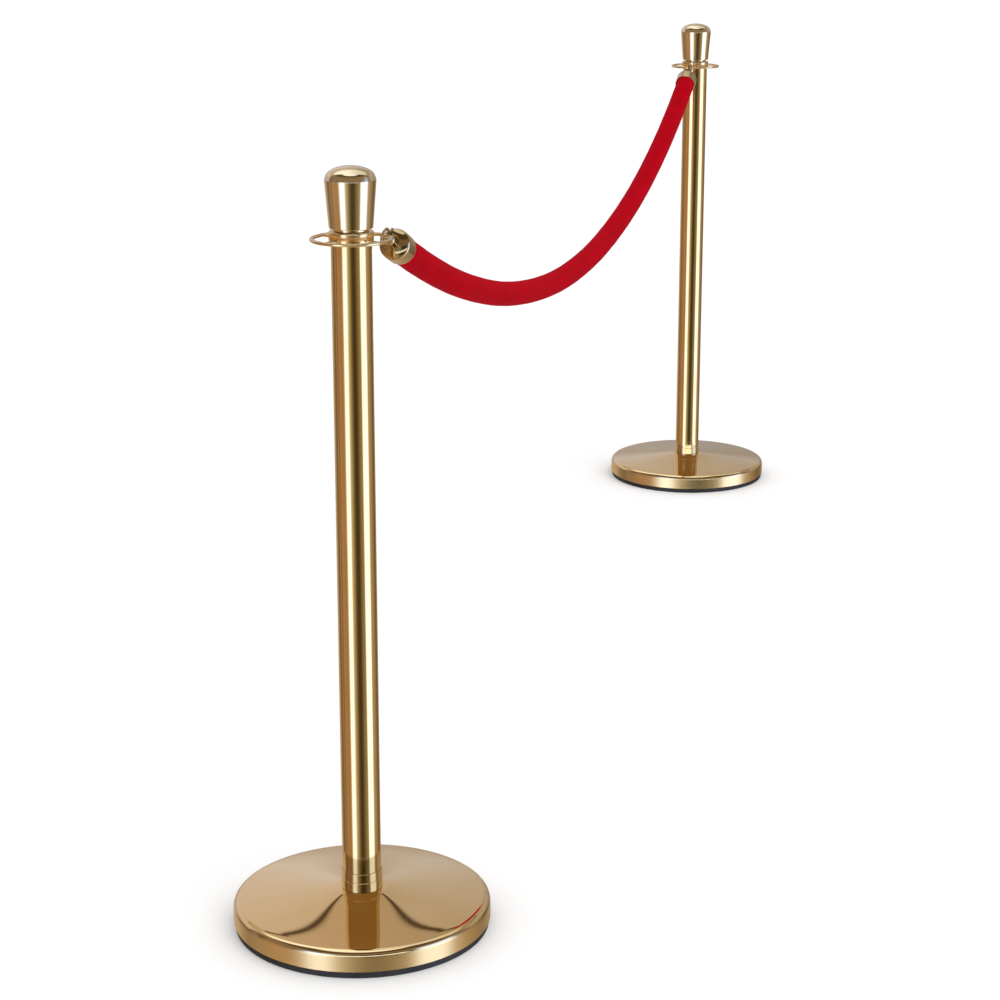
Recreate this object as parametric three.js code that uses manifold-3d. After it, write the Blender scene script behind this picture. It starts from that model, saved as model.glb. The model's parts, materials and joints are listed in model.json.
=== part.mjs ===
// Rope barrier set: two polished brass posts joined by one velvet rope.
//
// Units are millimetres and +Z is up. The origin lies on the floor, midway between the two posts,
// and +X runs from the near post to the far post. Both posts are the same; only their hook rings
// are turned differently. The rope hangs from one slot of each ring by a snap hook.

import * as THREE from "three";
import { mergeVertices } from "three/addons/utils/BufferGeometryUtils.js";
import Module from "manifold-3d";

const wasm = await Module();
wasm.setup();

// ---------------------------------------------------------------- driving dimensions

const GAP = 0.3; // clearance between pieces that touch
const POST_SPACING = 2250; // between the two post axes

const BASE_RADIUS = 160; // outside of the base cover
const RUBBER_HEIGHT = 8;
const RUBBER_INNER = 118;
const RUBBER_OUTER = 158;
const WEIGHT_RADIUS = 150;
const WEIGHT_TOP = 23;
const WEIGHT_BOSS_RADIUS = 28; // middle boss under the cover's seat
const RECESS_RADIUS = 14; // for the nut, from below
const RECESS_TOP = 20;
const WALL_TOP = 27.5; // where the cover's side wall starts to turn in
const SHOULDER_RADIUS = 8;
const LAND_TOP = 48; // flat seat in the middle of the cover
const LAND_RADIUS = 30;
const SHEET = 1.6; // thickness of the spun cover
const COLLAR_HEIGHT = 12.5;
const COLLAR_RADIUS = 25.5;
const CUFF_HEIGHT = 11; // thinner upper part of the collar, above its groove
const CUFF_RADIUS = 25;

const TUBE_RADIUS = 24;
const TUBE_WALL = 1.5;
const RING_BOTTOM = 858;
const RING_THICKNESS = 4;
const RING_INNER = 43.5;
const RING_OUTER = 48.5;
const HUB_RADIUS = 26.3;
const HUB_TOP = 870;
const SPOKE_WIDTH = 5;
const SPOKES = 4;

const HEAD_BOTTOM = 873;
const HEAD_TOP = 945;
const HEAD_RIM = 929; // height of the widest ring of the head
const HEAD_FOOT_RADIUS = 25.8;
const HEAD_RIM_RADIUS = 30.3;

const ROD_RADIUS = 6; // M12 tie rod through the base
const STUD_RADIUS = 5; // M10 stud under the head
const THREAD_CLEARANCE = 0.3;
const NUT_ACROSS_FLATS = 19;
const NUT_HEIGHT = 8;
const WASHER_RADIUS = 13;
const WASHER_THICKNESS = 2;
const PLUG_LENGTH = 22; // threaded plugs inside both ends of the tube
const THREAD_REACH = 18; // of the rod and the stud into what they hold

// Where each hook hangs, as an angle round its post from +X, and how its ring is turned.
const NEAR_HOOK_ANGLE = -40;
const NEAR_SPOKE_ANGLE = -25;
const FAR_HOOK_ANGLE = 180;
const FAR_SPOKE_ANGLE = 45;
const NEAR_HOOK_ROLL = 17; // turn about its own axis that lets the loop clear the ring
const FAR_HOOK_ROLL = 0;

// Snap hook, measured from the middle of its loop along its own axis.
const WIRE_RADIUS = 2.1;
const LOOP_RADIUS = 8.6; // middle of the wire
const NEAR_HOOK_SLACK = 1.8; // between wire and ring; more where the hook hangs askew
const FAR_HOOK_SLACK = 0.7;
const BOSS_RADIUS = 6.5;
const BOSS_START = 19;
const BOSS_END = 38;
const SWIVEL_START = 27; // free end of the swivel stud inside the hook's barrel
const SWIVEL_RADIUS = 2.4;
const SWIVEL_HEAD_RADIUS = 6;
const SWIVEL_HEAD_HEIGHT = 2.5;
const PIVOT = { along: 15.5, up: 4.5 };
const PIN_RADIUS = 1.2;
const PIN_CLEARANCE = 0.15;
const PIN_REACH = 4.2; // half of the pin's length
const GATE_LENGTH = 9.9;
const GATE_ANGLE = 166.6;
const GATE_THICKNESS = 2.6;
const GATE_SHIFT = 0.9; // off the hook's middle plane, to leave room for the spring
const FORK_WIDTH = 8.6;
const FORK_SLOT = 4.8;

const FERRULE_RADIUS = 19.3;
const FERRULE_BORE = 18.3;
const FERRULE_SHOULDER = 46;
const FERRULE_MOUTH = 70;
const FERRULE_SEAT = 44; // inside face that the swivel stud's head bears on
const FERRULE_SEAT_RADIUS = 12;
const BEARING_TO_ROPE = 55.3; // from the ring to the rope's end, hidden inside the ferrule

const ROPE_RADIUS = 17.5;
const CORE_RADIUS = 13.7;
const SLEEVE_BORE = 14.5;
const ROPE_STEPS = 34;

// The hanging rope from its lowest point to one end: distance along, height above the lowest point.
const ROPE_ROUTE = [
  [0, 0],
  [130, 3],
  [260, 13],
  [390, 29],
  [520, 51],
  [650, 80],
  [780, 115],
  [910, 157],
  [1014, 195],
  [1034, 203],
];

const FINE = 28; // facets round a large turned piece
const COARSE = 14; // facets round a small one

// ---------------------------------------------------------------- finishes

const finish = (color, roughness, metalness) => () =>
  new THREE.MeshStandardMaterial({ color, roughness, metalness });
const polishedBrass = finish(0xd9b36a, 0.12, 1);
const satinBrass = finish(0xc99a4e, 0.3, 1);
const darkBrass = finish(0x8a6a34, 0.4, 1);
const castIron = finish(0x3c3c3e, 0.8, 0.6);
const zincSteel = finish(0xa9abae, 0.4, 0.9);
const blackRubber = finish(0x17181a, 0.85, 0);
const redVelvet = finish(0xa80d1c, 0.95, 0);
const paleFoam = finish(0xd8d2c2, 1, 0);

// ---------------------------------------------------------------- geometry helpers

const radians = THREE.MathUtils.degToRad;
const point = (x, y) => new THREE.Vector2(x, y);

/** Points of an arc about (cx, cy), from one angle in degrees to another. */
function arc(cx, cy, radius, from, to, steps) {
  const points = [];
  for (let i = 0; i <= steps; i += 1) {
    const angle = radians(from + ((to - from) * i) / steps);
    points.push(point(cx + radius * Math.cos(angle), cy + radius * Math.sin(angle)));
  }
  return points;
}

/** Solid of revolution about Z. Profile points are (radius, height), outer side going up. */
function turned(profile, facets) {
  const geometry = new THREE.LatheGeometry(profile, facets);
  return geometry.rotateX(Math.PI / 2);
}

/** Solid of revolution about X. Profile points are (radius, distance along X). */
function turnedAlongX(profile, facets) {
  return turned(profile, facets).rotateY(Math.PI / 2);
}

/** Ring or tube with a rectangular section, standing between two heights. */
function sleeve(inner, outer, bottom, top, facets) {
  const profile = [
    point(inner, bottom),
    point(outer, bottom),
    point(outer, top),
    point(inner, top),
    point(inner, bottom),
  ];
  return turned(profile, facets);
}

/** Upright rod between two heights, its ends chamfered. */
function rod(radius, bottom, top, facets) {
  const chamfer = radius / 6;
  const profile = [
    point(0, bottom),
    point(radius - chamfer, bottom),
    point(radius, bottom + chamfer),
    point(radius, top - chamfer),
    point(radius - chamfer, top),
    point(0, top),
  ];
  return turned(profile, facets);
}

/** Plate of a given thickness, drawn in the XZ plane and centred on Y = 0. */
function plate(shape, thickness) {
  const geometry = new THREE.ExtrudeGeometry(shape, {
    depth: thickness,
    bevelEnabled: false,
    curveSegments: 5,
  });
  return geometry.translate(0, 0, -thickness / 2).rotateX(Math.PI / 2);
}

/** Round section swept along a curve. */
function swept(curve, radius, sides, steps) {
  const section = new THREE.Shape(arc(0, 0, radius, 0, 360 - 360 / sides, sides - 1));
  return new THREE.ExtrudeGeometry(section, { extrudePath: curve, steps, bevelEnabled: false });
}

/** A closed geometry as a solid that can be joined and cut. */
function solid(geometry) {
  const bare = geometry.clone();
  bare.deleteAttribute("normal");
  bare.deleteAttribute("uv");
  const merged = mergeVertices(bare, 1e-4);
  return new wasm.Manifold(
    new wasm.Mesh({
      numProp: 3,
      vertProperties: new Float32Array(merged.attributes.position.array),
      triVerts: new Uint32Array(merged.index.array),
    }),
  );
}

/** The geometry of a joined or cut solid. */
function geometryOf(body) {
  const mesh = body.getMesh();
  const geometry = new THREE.BufferGeometry();
  geometry.setAttribute("position", new THREE.BufferAttribute(mesh.vertProperties, 3));
  geometry.setIndex(new THREE.BufferAttribute(mesh.triVerts, 1));
  geometry.computeVertexNormals();
  return geometry;
}

/** Several closed geometries joined into one, with others cut away from it. */
function joined(additions, cuts = []) {
  let body = solid(additions[0]);
  for (const addition of additions.slice(1)) {
    body = body.add(solid(addition));
  }
  for (const cut of cuts) {
    body = body.subtract(solid(cut));
  }
  return geometryOf(body);
}

function piece(name, geometry, material) {
  const mesh = new THREE.Mesh(geometry, material());
  mesh.name = name;
  return mesh;
}

// ---------------------------------------------------------------- base

/** Height of the cover's dome at a radius: a shallow cone that flares up to its seat. */
function domeHeight(radius) {
  const rim = WALL_TOP + SHOULDER_RADIUS;
  const share = (radius - LAND_RADIUS) / (BASE_RADIUS - SHOULDER_RADIUS - LAND_RADIUS);
  return rim + (LAND_TOP - rim) * (0.9 * (1 - share) + 0.1 * (1 - share) ** 4);
}

/** Spun cover: side wall, rounded shoulder, low dome and a flat seat for the tube. */
function baseCover() {
  const shoulderX = BASE_RADIUS - SHOULDER_RADIUS;
  const holeRadius = ROD_RADIUS + 1;
  const domeRadii = [115, 70, LAND_RADIUS];
  const outer = [
    point(BASE_RADIUS, RUBBER_HEIGHT + GAP),
    ...arc(shoulderX, WALL_TOP, SHOULDER_RADIUS, 0, 84, 3),
    ...domeRadii.map((radius) => point(radius, domeHeight(radius))),
    point(holeRadius, LAND_TOP),
  ];
  const inner = [
    point(holeRadius, LAND_TOP - SHEET),
    ...domeRadii.map((radius) => point(radius, domeHeight(radius) - SHEET)).reverse(),
    ...arc(shoulderX, WALL_TOP, SHOULDER_RADIUS - SHEET, 84, 0, 3),
    point(BASE_RADIUS - SHEET, RUBBER_HEIGHT + GAP),
  ];
  return turned([...outer, ...inner, outer[0].clone()], FINE);
}

/** Cast plate with a middle boss under the cover's seat and a recess for the nut below. */
function baseWeight() {
  const bore = ROD_RADIUS + THREAD_CLEARANCE;
  const bottom = RUBBER_HEIGHT + GAP;
  const bossTop = LAND_TOP - SHEET - GAP;
  const bevel = 3;
  const fillet = 6;
  const profile = [
    point(RECESS_RADIUS, bottom),
    point(WEIGHT_RADIUS, bottom),
    point(WEIGHT_RADIUS, WEIGHT_TOP - bevel),
    point(WEIGHT_RADIUS - bevel, WEIGHT_TOP),
    point(WEIGHT_BOSS_RADIUS + fillet, WEIGHT_TOP),
    point(WEIGHT_BOSS_RADIUS, WEIGHT_TOP + fillet),
    point(WEIGHT_BOSS_RADIUS, bossTop),
    point(bore, bossTop),
    point(bore, RECESS_TOP),
    point(RECESS_RADIUS, RECESS_TOP),
    point(RECESS_RADIUS, bottom),
  ];
  return turned(profile, FINE);
}

/** Rubber ring that the whole post stands on. */
function rubberFoot() {
  const bevel = 1;
  const profile = [
    point(RUBBER_INNER, 0),
    point(RUBBER_OUTER - bevel, 0),
    point(RUBBER_OUTER, bevel),
    point(RUBBER_OUTER, RUBBER_HEIGHT),
    point(RUBBER_INNER, RUBBER_HEIGHT),
    point(RUBBER_INNER, 0),
  ];
  return turned(profile, FINE);
}

/** Collar round the foot of the tube: a plain band, a groove and a thinner cuff above it. */
function footCollar(bottom) {
  const inner = TUBE_RADIUS + GAP;
  const grooveRadius = inner + 0.4;
  const grooveWidth = 0.8;
  const bandTop = bottom + COLLAR_HEIGHT;
  const cuffBottom = bandTop + grooveWidth;
  const profile = [
    point(inner, bottom),
    point(COLLAR_RADIUS, bottom),
    point(COLLAR_RADIUS, bandTop),
    point(grooveRadius, bandTop),
    point(grooveRadius, cuffBottom),
    point(CUFF_RADIUS, cuffBottom),
    point(CUFF_RADIUS, cuffBottom + CUFF_HEIGHT),
    point(inner, cuffBottom + CUFF_HEIGHT),
    point(inner, bottom),
  ];
  return turned(profile, FINE);
}

function hexNut(acrossFlats, bore, bottom, height) {
  const corner = acrossFlats / 2 / Math.cos(radians(30));
  const shape = new THREE.Shape(arc(0, 0, corner, 0, 300, 5));
  shape.holes.push(new THREE.Path(arc(0, 0, bore, 0, 342, 19)));
  const geometry = new THREE.ExtrudeGeometry(shape, { depth: height, bevelEnabled: false });
  return geometry.translate(0, 0, bottom);
}

// ---------------------------------------------------------------- ring and head

/** Flat ring with a raised hub and four spokes, which leave four slots for rope hooks. */
function hookRing() {
  const top = RING_BOTTOM + RING_THICKNESS;
  const bore = STUD_RADIUS + THREAD_CLEARANCE;
  const hubProfile = [
    point(bore, RING_BOTTOM),
    point(HUB_RADIUS - 1, RING_BOTTOM),
    point(HUB_RADIUS, RING_BOTTOM + 1),
    point(HUB_RADIUS, HUB_TOP - 2),
    point(HUB_RADIUS - 2, HUB_TOP),
    point(bore, HUB_TOP),
    point(bore, RING_BOTTOM),
  ];
  const edge = 1;
  const bandProfile = [
    point(RING_INNER, RING_BOTTOM + edge),
    point(RING_INNER + edge, RING_BOTTOM),
    point(RING_OUTER - edge, RING_BOTTOM),
    point(RING_OUTER, RING_BOTTOM + edge),
    point(RING_OUTER, top - edge),
    point(RING_OUTER - edge, top),
    point(RING_INNER + edge, top),
    point(RING_INNER, top - edge),
    point(RING_INNER, RING_BOTTOM + edge),
  ];
  const additions = [turned(hubProfile, FINE), turned(bandProfile, FINE)];
  const spokeStart = HUB_RADIUS - 3;
  const spokeLength = RING_INNER + 2 - spokeStart;
  for (let i = 0; i < SPOKES; i += 1) {
    const spoke = new THREE.BoxGeometry(spokeLength, SPOKE_WIDTH, RING_THICKNESS - edge);
    spoke.translate(spokeStart + spokeLength / 2, 0, RING_BOTTOM + RING_THICKNESS / 2);
    additions.push(spoke.rotateZ((i / SPOKES) * 2 * Math.PI));
  }
  return joined(additions);
}

/** Crown head: a hollow shell with tapered sides, a rounded rim, a domed top and a thick foot. */
function crownHead() {
  const bore = STUD_RADIUS + THREAD_CLEARANCE;
  const spigotRadius = 21;
  const shell = 2.2;
  const footTop = HEAD_BOTTOM + 8;
  const domeFoot = HEAD_RIM + 3;
  const domeRise = HEAD_TOP - domeFoot;
  const domeRadius = HEAD_RIM_RADIUS - 1.5;
  const dome = [0.93, 0.7, 0.38].map((share) =>
    point(domeRadius * share, domeFoot + domeRise * Math.sqrt(1 - share ** 2)),
  );
  const profile = [
    point(0, HEAD_TOP - shell),
    point(domeRadius - 2 * shell, domeFoot),
    point(HEAD_FOOT_RADIUS - shell, footTop),
    point(bore, footTop),
    point(bore, HUB_TOP + GAP),
    point(spigotRadius, HUB_TOP + GAP),
    point(spigotRadius, HEAD_BOTTOM),
    point(HEAD_FOOT_RADIUS - 1, HEAD_BOTTOM),
    point(HEAD_FOOT_RADIUS, HEAD_BOTTOM + 1),
    point(HEAD_RIM_RADIUS, HEAD_RIM),
    point(domeRadius, domeFoot),
    ...dome,
    point(0, HEAD_TOP),
  ];
  return turned(profile, FINE);
}

// ---------------------------------------------------------------- one post

function post(prefix, spokeAngle) {
  const group = new THREE.Group();
  const add = (name, geometry, material) => {
    const mesh = piece(`${prefix}_${name}`, geometry, material);
    group.add(mesh);
    return mesh;
  };
  const tubeBottom = LAND_TOP + GAP;
  const tubeTop = RING_BOTTOM - GAP;
  const plugRadius = TUBE_RADIUS - TUBE_WALL - GAP;
  const rodBore = ROD_RADIUS + THREAD_CLEARANCE;
  const studBore = STUD_RADIUS + THREAD_CLEARANCE;
  const washerTop = RECESS_TOP - GAP;
  const washerBottom = washerTop - WASHER_THICKNESS;
  const nutBottom = washerBottom - GAP - NUT_HEIGHT;
  const rodTop = tubeBottom + THREAD_REACH;
  const studBottom = tubeTop - THREAD_REACH;
  const studTop = HEAD_BOTTOM + THREAD_REACH;
  const footPlugTop = tubeBottom + PLUG_LENGTH;
  const topPlugBottom = tubeTop - PLUG_LENGTH;

  add("rubber_foot", rubberFoot(), blackRubber);
  add("base_weight", baseWeight(), castIron);
  add("base_cover", baseCover(), polishedBrass);
  add("rod_washer", sleeve(rodBore, WASHER_RADIUS, washerBottom, washerTop, COARSE), zincSteel);
  add("rod_nut", hexNut(NUT_ACROSS_FLATS, rodBore, nutBottom, NUT_HEIGHT), zincSteel);
  add("tie_rod", rod(ROD_RADIUS, nutBottom - 0.5, rodTop, COARSE), zincSteel);
  add("tube_foot_plug", sleeve(rodBore, plugRadius, tubeBottom, footPlugTop, COARSE), zincSteel);
  add("tube", sleeve(TUBE_RADIUS - TUBE_WALL, TUBE_RADIUS, tubeBottom, tubeTop, FINE), polishedBrass);
  add("foot_collar", footCollar(tubeBottom), satinBrass);
  add("tube_top_plug", sleeve(studBore, plugRadius, topPlugBottom, tubeTop, COARSE), zincSteel);
  add("hook_ring", hookRing(), polishedBrass).rotation.z = radians(spokeAngle);
  add("head_stud", rod(STUD_RADIUS, studBottom, studTop, COARSE), zincSteel);
  add("crown_head", crownHead(), polishedBrass);
  return group;
}

// ---------------------------------------------------------------- snap hook and ferrule
// These are drawn with X along the hook's pull, from the ring towards the rope, and Z up.

/** Wire loop, fork for the gate, and barrel that turns on the swivel stud. */
function hookBody() {
  const loopStart = -42;
  const loopEnd = -298;
  const loop = arc(0, 0, LOOP_RADIUS, loopStart, loopEnd, 12);
  const path = [point(21, 0), point(16.5, -0.4), point(12, -2), ...loop];
  const wire = new THREE.CatmullRomCurve3(path.map((p) => new THREE.Vector3(p.x, 0, p.y)));

  const fork = new THREE.Shape([point(11.5, -3), point(21, -4.5), point(21, 4.5)]);
  fork.absarc(PIVOT.along, PIVOT.up, 3.2, radians(60), radians(160), false);
  fork.closePath();

  const barrel = [
    point(0, BOSS_START),
    point(4.8, BOSS_START),
    point(BOSS_RADIUS, BOSS_START + 2),
    point(BOSS_RADIUS, BOSS_END - 2),
    point(BOSS_RADIUS - 1.5, BOSS_END),
    point(0, BOSS_END),
  ];
  const slot = new THREE.BoxGeometry(10, FORK_SLOT, 12).translate(13.6, 0, 6.8);
  const pinHole = rod(PIN_RADIUS + PIN_CLEARANCE, -FORK_WIDTH, FORK_WIDTH, COARSE);
  pinHole.rotateX(Math.PI / 2).translate(PIVOT.along, 0, PIVOT.up);
  const studHole = rod(SWIVEL_RADIUS + GAP, SWIVEL_START - 1, BOSS_END + 1, COARSE);
  studHole.rotateY(Math.PI / 2);
  return joined(
    [swept(wire, WIRE_RADIUS, 8, 28), plate(fork, FORK_WIDTH), turnedAlongX(barrel, COARSE)],
    [slot, pinHole, studHole],
  );
}

/** Gate lever, drawn from its pivot with X towards its tip and the thumb tab on the -Z side. */
function gateLever() {
  const tip = 1.5;
  const heel = 2.6;
  const shape = new THREE.Shape();
  shape.moveTo(0, -heel);
  shape.lineTo(2.6, -2.3);
  shape.lineTo(2.4, -6.6);
  shape.absarc(3.9, -6.8, 1.5, Math.PI, 2 * Math.PI, false);
  shape.lineTo(6.4, -1.9);
  shape.lineTo(GATE_LENGTH, -tip);
  shape.absarc(GATE_LENGTH, 0, tip, -Math.PI / 2, Math.PI / 2, false);
  shape.lineTo(0, heel);
  shape.absarc(0, 0, heel, Math.PI / 2, (3 * Math.PI) / 2, false);
  const hole = rod(PIN_RADIUS + PIN_CLEARANCE, -4, 4, COARSE).rotateX(Math.PI / 2);
  return joined([plate(shape, GATE_THICKNESS)], [hole]);
}

/** Small torsion spring wound round the gate's pin. */
function gateSpring() {
  const turns = 1.75;
  const steps = 20;
  const coilRadius = PIN_RADIUS + 0.8;
  const pitch = 0.65;
  const points = [];
  for (let i = 0; i <= steps; i += 1) {
    const angle = (turns * 2 * Math.PI * i) / steps;
    const side = (pitch * turns * i) / steps;
    points.push(new THREE.Vector3(coilRadius * Math.cos(angle), side, coilRadius * Math.sin(angle)));
  }
  return swept(new THREE.CatmullRomCurve3(points), 0.3, 5, steps);
}

/** Domed end cap that holds the rope, open towards it. */
function ferrule() {
  const bore = SWIVEL_RADIUS + 0.5;
  const domeStart = BOSS_END + 0.5;
  const domeDepth = FERRULE_SHOULDER - domeStart;
  const domeShares = [0.35, 0.6, 0.8, 0.93];
  const domePoint = (share) =>
    point(FERRULE_RADIUS * share, domeStart + domeDepth * (1 - Math.sqrt(1 - share ** 2.4)));
  const profile = [
    point(bore, domeStart),
    point(bore, FERRULE_SEAT),
    point(FERRULE_SEAT_RADIUS, FERRULE_SEAT),
    point(FERRULE_BORE, FERRULE_SEAT + 4.8),
    point(FERRULE_BORE, FERRULE_MOUTH),
    point(FERRULE_RADIUS, FERRULE_MOUTH),
    point(FERRULE_RADIUS, FERRULE_SHOULDER),
    ...domeShares.map(domePoint).reverse(),
    point(bore, domeStart),
  ];
  return turnedAlongX(profile.reverse(), FINE);
}

/** Headed stud that joins the ferrule to the hook and lets the hook turn. */
function swivelStud() {
  const headFoot = FERRULE_SEAT + GAP;
  const profile = [
    point(0, SWIVEL_START),
    point(SWIVEL_RADIUS, SWIVEL_START),
    point(SWIVEL_RADIUS, headFoot),
    point(SWIVEL_HEAD_RADIUS, headFoot),
    point(SWIVEL_HEAD_RADIUS, headFoot + SWIVEL_HEAD_HEIGHT),
    point(0, headFoot + SWIVEL_HEAD_HEIGHT),
  ];
  return turnedAlongX(profile, COARSE);
}

/** One rope end: hook, gate, pin, spring, stud and ferrule, with X along the pull. */
function ropeEnd(prefix) {
  const group = new THREE.Group();
  const add = (name, geometry, material) => {
    const mesh = piece(`${prefix}_${name}`, geometry, material);
    group.add(mesh);
    return mesh;
  };
  add("snap_hook", hookBody(), polishedBrass);
  add("swivel_stud", swivelStud(), zincSteel);
  add("ferrule", ferrule(), polishedBrass);

  const gate = add("hook_gate", gateLever(), darkBrass);
  gate.position.set(PIVOT.along, -GATE_SHIFT, PIVOT.up);
  gate.rotation.y = -radians(GATE_ANGLE);

  const pinShape = rod(PIN_RADIUS, -PIN_REACH, PIN_REACH, COARSE).rotateX(Math.PI / 2);
  const pin = add("gate_pin", pinShape, zincSteel);
  pin.position.set(PIVOT.along, 0, PIVOT.up);

  const spring = add("gate_spring", gateSpring(), zincSteel);
  spring.position.set(PIVOT.along, GATE_THICKNESS / 2 - GATE_SHIFT + 0.45, PIVOT.up);
  return group;
}

// ---------------------------------------------------------------- hanging rope

const nearPostX = -POST_SPACING / 2;
const farPostX = POST_SPACING / 2;

/** The spot on a ring's inner top edge where a hook bears. */
function bearingPoint(postX, hookAngle) {
  const angle = radians(hookAngle);
  const x = postX + RING_INNER * Math.cos(angle);
  const y = RING_INNER * Math.sin(angle);
  return new THREE.Vector3(x, y, RING_BOTTOM + RING_THICKNESS - 1);
}

const nearBearing = bearingPoint(nearPostX, NEAR_HOOK_ANGLE);
const farBearing = bearingPoint(farPostX, FAR_HOOK_ANGLE);
const across = farBearing.clone().sub(nearBearing).normalize();
const ropeMiddle = nearBearing.clone().add(farBearing).divideScalar(2);

/** The rope's slope where it leaves a ferrule, from the last stretch of its route. */
const [beforeLast, last] = ROPE_ROUTE.slice(-2);
const endSlope = Math.atan2(last[1] - beforeLast[1], last[0] - beforeLast[0]);

const lowestZ = nearBearing.z - BEARING_TO_ROPE * Math.sin(endSlope) - last[1];

/** The whole route, from the near end to the far end. */
function ropeCurve() {
  const nearHalf = ROPE_ROUTE.slice(1).reverse().map(([along, up]) => [-along, up]);
  const points = [...nearHalf, ...ROPE_ROUTE].map(([along, up]) => {
    const spot = ropeMiddle.clone().addScaledVector(across, along);
    spot.z = lowestZ + up;
    return spot;
  });
  return new THREE.CatmullRomCurve3(points);
}

/** Velvet cover: a soft tube round the core. */
function velvetSleeve(curve) {
  const section = new THREE.Shape(arc(0, 0, ROPE_RADIUS, 0, 330, 11));
  section.holes.push(new THREE.Path(arc(0, 0, SLEEVE_BORE, 0, 330, 11)));
  const options = { extrudePath: curve, steps: ROPE_STEPS, bevelEnabled: false };
  return new THREE.ExtrudeGeometry(section, options);
}

/** Puts a rope end in place: its loop hangs on the ring and its axis follows the rope. */
function hang(group, bearing, direction, roll, slack) {
  const pull = across.clone().multiplyScalar(direction * Math.cos(endSlope));
  pull.z = -Math.sin(endSlope);
  const side = new THREE.Vector3(0, 0, 1).cross(pull).normalize();
  const up = pull.clone().cross(side);
  const basis = new THREE.Matrix4().makeBasis(pull, side, up);
  group.quaternion.setFromRotationMatrix(basis);
  group.rotateX(radians(roll));
  group.position.copy(bearing).addScaledVector(pull, LOOP_RADIUS - WIRE_RADIUS - slack);
  return group;
}

// ---------------------------------------------------------------- assembly

const barrier = new THREE.Group();

const nearPost = post("near", NEAR_SPOKE_ANGLE);
nearPost.position.x = nearPostX;
const farPost = post("far", FAR_SPOKE_ANGLE);
farPost.position.x = farPostX;
barrier.add(nearPost, farPost);

const curve = ropeCurve();
barrier.add(piece("velvet_sleeve", velvetSleeve(curve), redVelvet));
barrier.add(piece("rope_core", swept(curve, CORE_RADIUS, 8, ROPE_STEPS), paleFoam));
barrier.add(hang(ropeEnd("near"), nearBearing, 1, NEAR_HOOK_ROLL, NEAR_HOOK_SLACK));
barrier.add(hang(ropeEnd("far"), farBearing, -1, FAR_HOOK_ROLL, FAR_HOOK_SLACK));

export default barrier;
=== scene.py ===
"""Looks for the rope barrier set: two polished gold posts joined by one red velvet rope.

Everything is in metres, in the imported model's frame: +Z up, +X from the near post to the far post.
Profiles are drawn in millimetres, as (radius, height) pairs, and scaled by MM as they are built.
Each new piece has its origin on its own axis, so a material's object coordinates follow the piece.
"""

import json
import math

import bmesh
import bpy
from mathutils import Matrix, Vector


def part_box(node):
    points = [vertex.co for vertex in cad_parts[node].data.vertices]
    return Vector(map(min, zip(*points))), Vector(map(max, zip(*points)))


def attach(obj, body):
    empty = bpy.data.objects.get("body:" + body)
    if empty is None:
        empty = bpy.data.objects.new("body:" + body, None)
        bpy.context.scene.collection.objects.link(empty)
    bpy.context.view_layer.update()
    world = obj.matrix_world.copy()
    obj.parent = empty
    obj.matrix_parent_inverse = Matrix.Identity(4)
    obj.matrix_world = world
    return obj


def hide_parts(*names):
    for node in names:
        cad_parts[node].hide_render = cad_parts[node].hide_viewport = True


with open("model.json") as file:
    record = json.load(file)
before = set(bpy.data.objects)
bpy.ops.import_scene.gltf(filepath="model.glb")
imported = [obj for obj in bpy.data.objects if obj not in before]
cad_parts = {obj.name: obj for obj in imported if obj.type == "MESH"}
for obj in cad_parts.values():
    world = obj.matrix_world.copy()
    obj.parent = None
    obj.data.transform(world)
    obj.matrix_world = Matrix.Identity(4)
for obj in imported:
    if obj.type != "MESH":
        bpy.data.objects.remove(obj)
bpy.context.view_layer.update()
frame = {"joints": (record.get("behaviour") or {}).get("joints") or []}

# ---------------------------------------------------------------- dimensions

MM = 0.001
GAP = 0.3  # clearance between pieces that touch, in mm
POSTS = ("near", "far")
ROUND = 128  # facets round a large turned piece
SMALL_ROUND = 48

CAMERA_LENS = 85.4
CAMERA_HEADING = math.radians(14.68)  # from +X towards +Y
CAMERA_PITCH = math.radians(-15.56)
CAMERA_HEIGHT = 1.305
CAMERA_BEHIND_NEAR_POST = 2.723
CAMERA_BESIDE_NEAR_POST = 0.172  # to its right

# The hanging rope from its lowest point to one end: distance along, height above the lowest point.
ROPE_ROUTE = [
    (0.000, 0.000),
    (0.130, 0.003),
    (0.260, 0.013),
    (0.390, 0.029),
    (0.520, 0.051),
    (0.650, 0.080),
    (0.780, 0.115),
    (0.910, 0.157),
    (1.014, 0.195),
    (1.034, 0.203),
]
BEARING_TO_ROPE = 0.0553  # from where a hook bears on its ring to the end of the sleeve
ROPE_RADIUS = 0.0175
CORE_RADIUS = 0.0137

joints = {joint["name"]: joint for joint in frame["joints"]}


def middle_of(node):
    """Centre of a CAD node's box."""
    low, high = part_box(node)
    return (low + high) / 2


def axis_of(prefix):
    """Where a post's axis meets the floor."""
    centre = middle_of(f"{prefix}_tube")
    return Vector((centre.x, centre.y, 0))


# ---------------------------------------------------------------- camera


def make_camera():
    """The photograph's camera; gives back its level forward and right directions."""
    forward = Vector((math.cos(CAMERA_HEADING), math.sin(CAMERA_HEADING), 0))
    right = Vector((forward.y, -forward.x, 0))
    place = axis_of("near") - forward * CAMERA_BEHIND_NEAR_POST + right * CAMERA_BESIDE_NEAR_POST
    data = bpy.data.cameras.new("camera")
    data.lens = CAMERA_LENS
    data.clip_end = 200
    camera = bpy.data.objects.new("camera", data)
    camera.location = place + Vector((0, 0, CAMERA_HEIGHT))
    camera.rotation_euler = (math.pi / 2 + CAMERA_PITCH, 0, CAMERA_HEADING - math.pi / 2)
    bpy.context.scene.collection.objects.link(camera)
    bpy.context.scene.camera = camera
    return forward, right


view_forward, view_right = make_camera()

# ---------------------------------------------------------------- mesh helpers


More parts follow.
